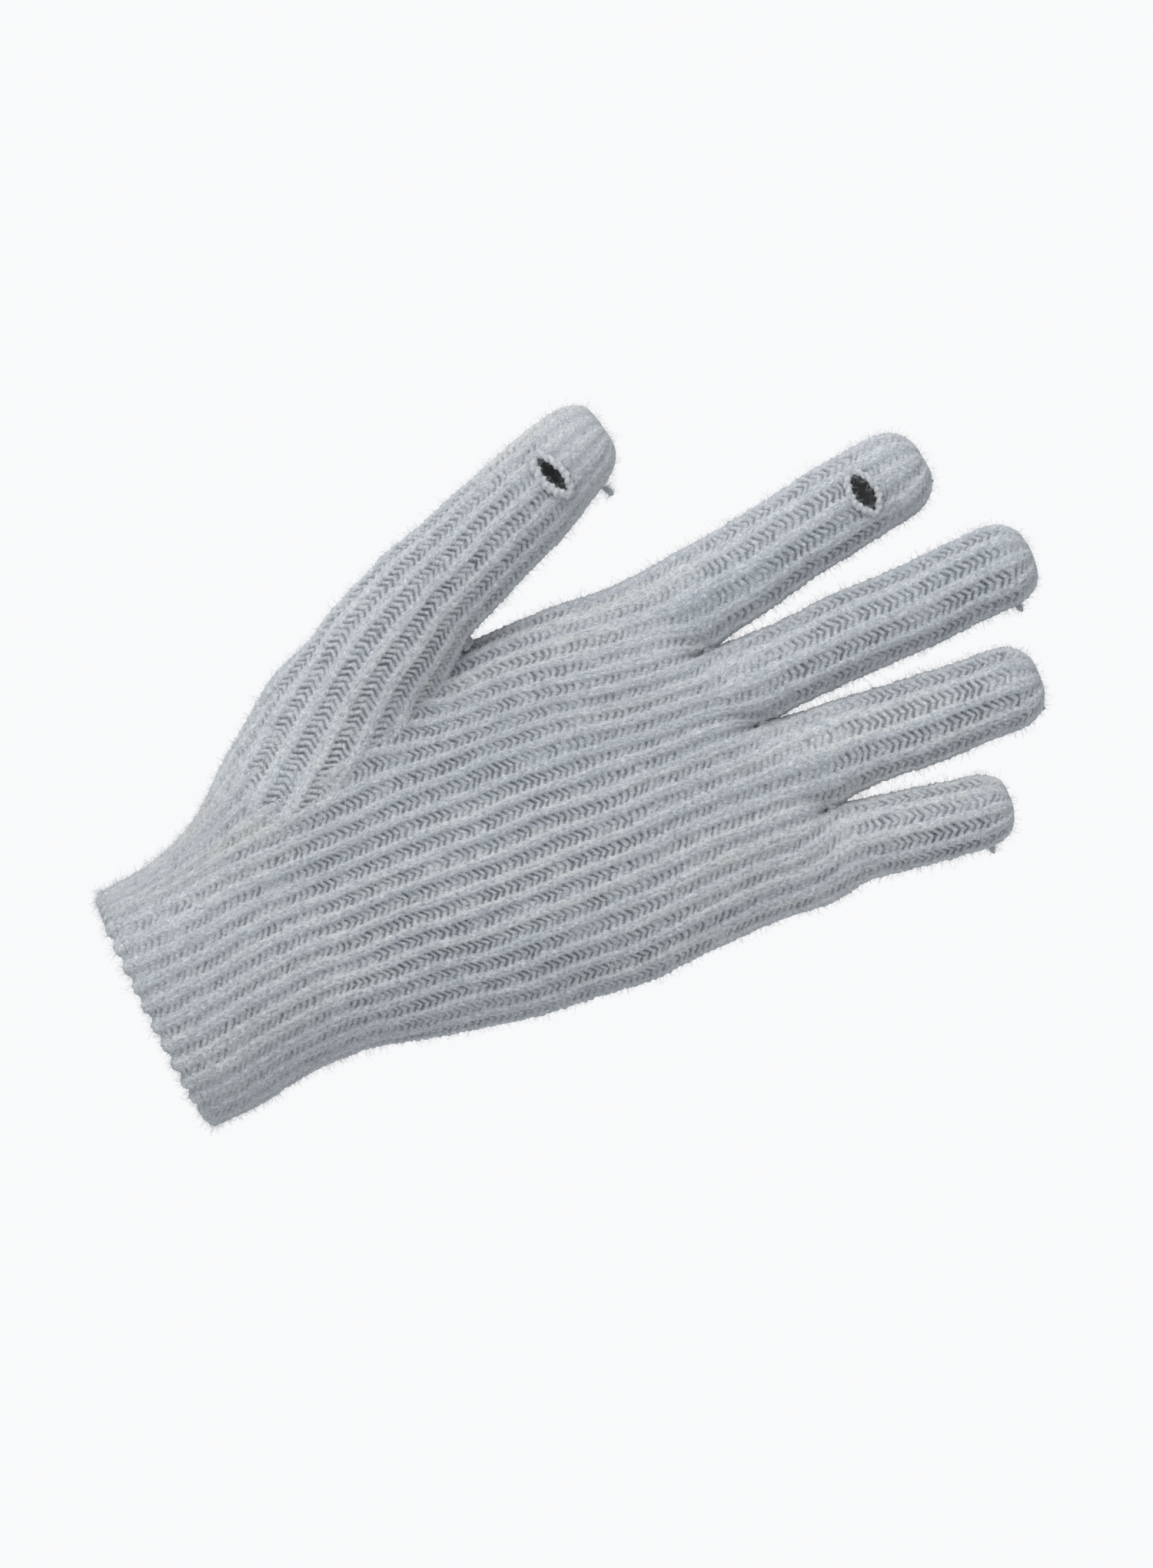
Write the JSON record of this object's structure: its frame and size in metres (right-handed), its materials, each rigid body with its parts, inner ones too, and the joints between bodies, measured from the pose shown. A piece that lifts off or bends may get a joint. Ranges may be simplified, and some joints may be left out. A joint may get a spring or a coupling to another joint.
{
  "type": "knit glove",
  "caption": "Left-hand ribbed knit glove with full fingers and touch slits across the pads of thumb and index finger, in its worn shape.",
  "frame": {"origin": "centre of the wrist opening, in the plane of the cuff's edge", "axes": "+Z from the wrist to the fingertips, palm faces -Y, thumb on the -X side"},
  "size_m": [0.1325, 0.0418, 0.2225],
  "materials": {
    "rib_knit": "soft brushed heather rib knit",
    "cuff_knit": "dense elastic rib knit",
    "seam_yarn": "linking yarn, matt",
    "slit_binding": "bound-off edge, soft",
    "elastic_thread": "covered elastic, matt"
  },
  "bodies": {
    "hand": {"cuff_edge_welt": "cuff_knit", "cuff_rib": "cuff_knit", "cuff_elastic_threads": "elastic_thread", "thumb_heel_gusset": "rib_knit", "palm_panel": "rib_knit", "back_panel": "rib_knit", "thumb_seam_palm": "seam_yarn", "thumb_seam_back": "seam_yarn", "crotch_index_middle": "seam_yarn", "crotch_middle_ring": "seam_yarn", "crotch_ring_little": "seam_yarn", "crotch_thumb": "seam_yarn", "index_root_tube": "rib_knit", "middle_root_tube": "rib_knit", "ring_root_tube": "rib_knit", "little_root_tube": "rib_knit", "thumb_root_tube": "rib_knit"},
    "index_base": {"index_base_tube": "rib_knit"},
    "index_mid": {"index_mid_tube": "rib_knit"},
    "index_end": {"index_end_tube": "rib_knit", "index_slit_edge_lower": "slit_binding"},
    "index_cap": {"index_tip_cap": "rib_knit", "index_slit_edge_upper": "slit_binding", "index_tip_closure": "seam_yarn"},
    "middle_base": {"middle_base_tube": "rib_knit"},
    "middle_mid": {"middle_mid_tube": "rib_knit"},
    "middle_end": {"middle_end_tube": "rib_knit", "middle_tip_closure": "seam_yarn"},
    "ring_base": {"ring_base_tube": "rib_knit"},
    "ring_mid": {"ring_mid_tube": "rib_knit"},
    "ring_end": {"ring_end_tube": "rib_knit", "ring_tip_closure": "seam_yarn"},
    "little_base": {"little_base_tube": "rib_knit"},
    "little_mid": {"little_mid_tube": "rib_knit"},
    "little_end": {"little_end_tube": "rib_knit", "little_tip_closure": "seam_yarn"},
    "thumb_mid": {"thumb_mid_tube": "rib_knit"},
    "thumb_end": {"thumb_end_tube": "rib_knit", "thumb_slit_edge_lower": "slit_binding"},
    "thumb_cap": {"thumb_tip_cap": "rib_knit", "thumb_slit_edge_upper": "slit_binding", "thumb_tip_closure": "seam_yarn"}
  },
  "joints": [
    {"name": "index_base_knuckle", "type": "hinge", "parent": "hand", "child": "index_base", "pos_m": [-0.02888, 0, 0.15297], "axis": [1, 0, 0], "range_deg": [0, 65]},
    {"name": "index_mid_knuckle", "type": "hinge", "parent": "index_base", "child": "index_mid", "pos_m": [-0.03041, 0, 0.1689], "axis": [0.9954, 0, 0.0958], "range_deg": [0, 75]},
    {"name": "index_end_knuckle", "type": "hinge", "parent": "index_mid", "child": "index_end", "pos_m": [-0.03202, 0, 0.18562], "axis": [0.9954, 0, 0.0958], "range_deg": [0, 45]},
    {"name": "index_cap_fold", "type": "hinge", "parent": "index_end", "child": "index_cap", "pos_m": [-0.03276, 0.0086, 0.19329], "axis": [-0.9954, 0, -0.0958], "range_deg": [0, 85]},
    {"name": "middle_base_knuckle", "type": "hinge", "parent": "hand", "child": "middle_base", "pos_m": [-0.00603, 0, 0.15749], "axis": [1, 0, 0], "range_deg": [0, 65]},
    {"name": "middle_mid_knuckle", "type": "hinge", "parent": "middle_base", "child": "middle_mid", "pos_m": [-0.0053, 0, 0.17648], "axis": [0.9993, 0, -0.0384], "range_deg": [0, 75]},
    {"name": "middle_end_knuckle", "type": "hinge", "parent": "middle_mid", "child": "middle_end", "pos_m": [-0.0045, 0, 0.19747], "axis": [0.9993, 0, -0.0384], "range_deg": [0, 45]},
    {"name": "ring_base_knuckle", "type": "hinge", "parent": "hand", "child": "ring_base", "pos_m": [0.01655, 0, 0.16095], "axis": [1, 0, 0], "range_deg": [0, 65]},
    {"name": "ring_mid_knuckle", "type": "hinge", "parent": "ring_base", "child": "ring_mid", "pos_m": [0.01837, 0, 0.17534], "axis": [0.9921, 0, -0.1253], "range_deg": [0, 75]},
    {"name": "ring_end_knuckle", "type": "hinge", "parent": "ring_mid", "child": "ring_end", "pos_m": [0.0205, 0, 0.1922], "axis": [0.9921, 0, -0.1253], "range_deg": [0, 45]},
    {"name": "little_base_knuckle", "type": "hinge", "parent": "hand", "child": "little_base", "pos_m": [0.03868, 0, 0.16188], "axis": [1, 0, 0], "range_deg": [0, 50]},
    {"name": "little_mid_knuckle", "type": "hinge", "parent": "little_base", "child": "little_mid", "pos_m": [0.0408, 0, 0.17145], "axis": [0.9763, 0, -0.2164], "range_deg": [0, 60]},
    {"name": "little_end_knuckle", "type": "hinge", "parent": "little_mid", "child": "little_end", "pos_m": [0.04301, 0, 0.18141], "axis": [0.9763, 0, -0.2164], "range_deg": [0, 36]},
    {"name": "thumb_mid_knuckle", "type": "hinge", "parent": "hand", "child": "thumb_mid", "pos_m": [-0.05968, -0.006, 0.10553], "axis": [0.7842, 0.5736, 0.2368], "range_deg": [0, 45]},
    {"name": "thumb_end_knuckle", "type": "hinge", "parent": "thumb_mid", "child": "thumb_end", "pos_m": [-0.06488, -0.006, 0.12276], "axis": [0.9573, 0, 0.289], "range_deg": [0, 60]},
    {"name": "thumb_cap_fold", "type": "hinge", "parent": "thumb_end", "child": "thumb_cap", "pos_m": [-0.06766, 0.00386, 0.13195], "axis": [-0.9573, 0, -0.289], "range_deg": [0, 85]}
  ],
  "couplings": [
    {"joint": "index_end_knuckle", "follows": "index_mid_knuckle", "ratio": 0.6},
    {"joint": "middle_end_knuckle", "follows": "middle_mid_knuckle", "ratio": 0.6},
    {"joint": "ring_end_knuckle", "follows": "ring_mid_knuckle", "ratio": 0.6},
    {"joint": "little_end_knuckle", "follows": "little_mid_knuckle", "ratio": 0.6}
  ]
}
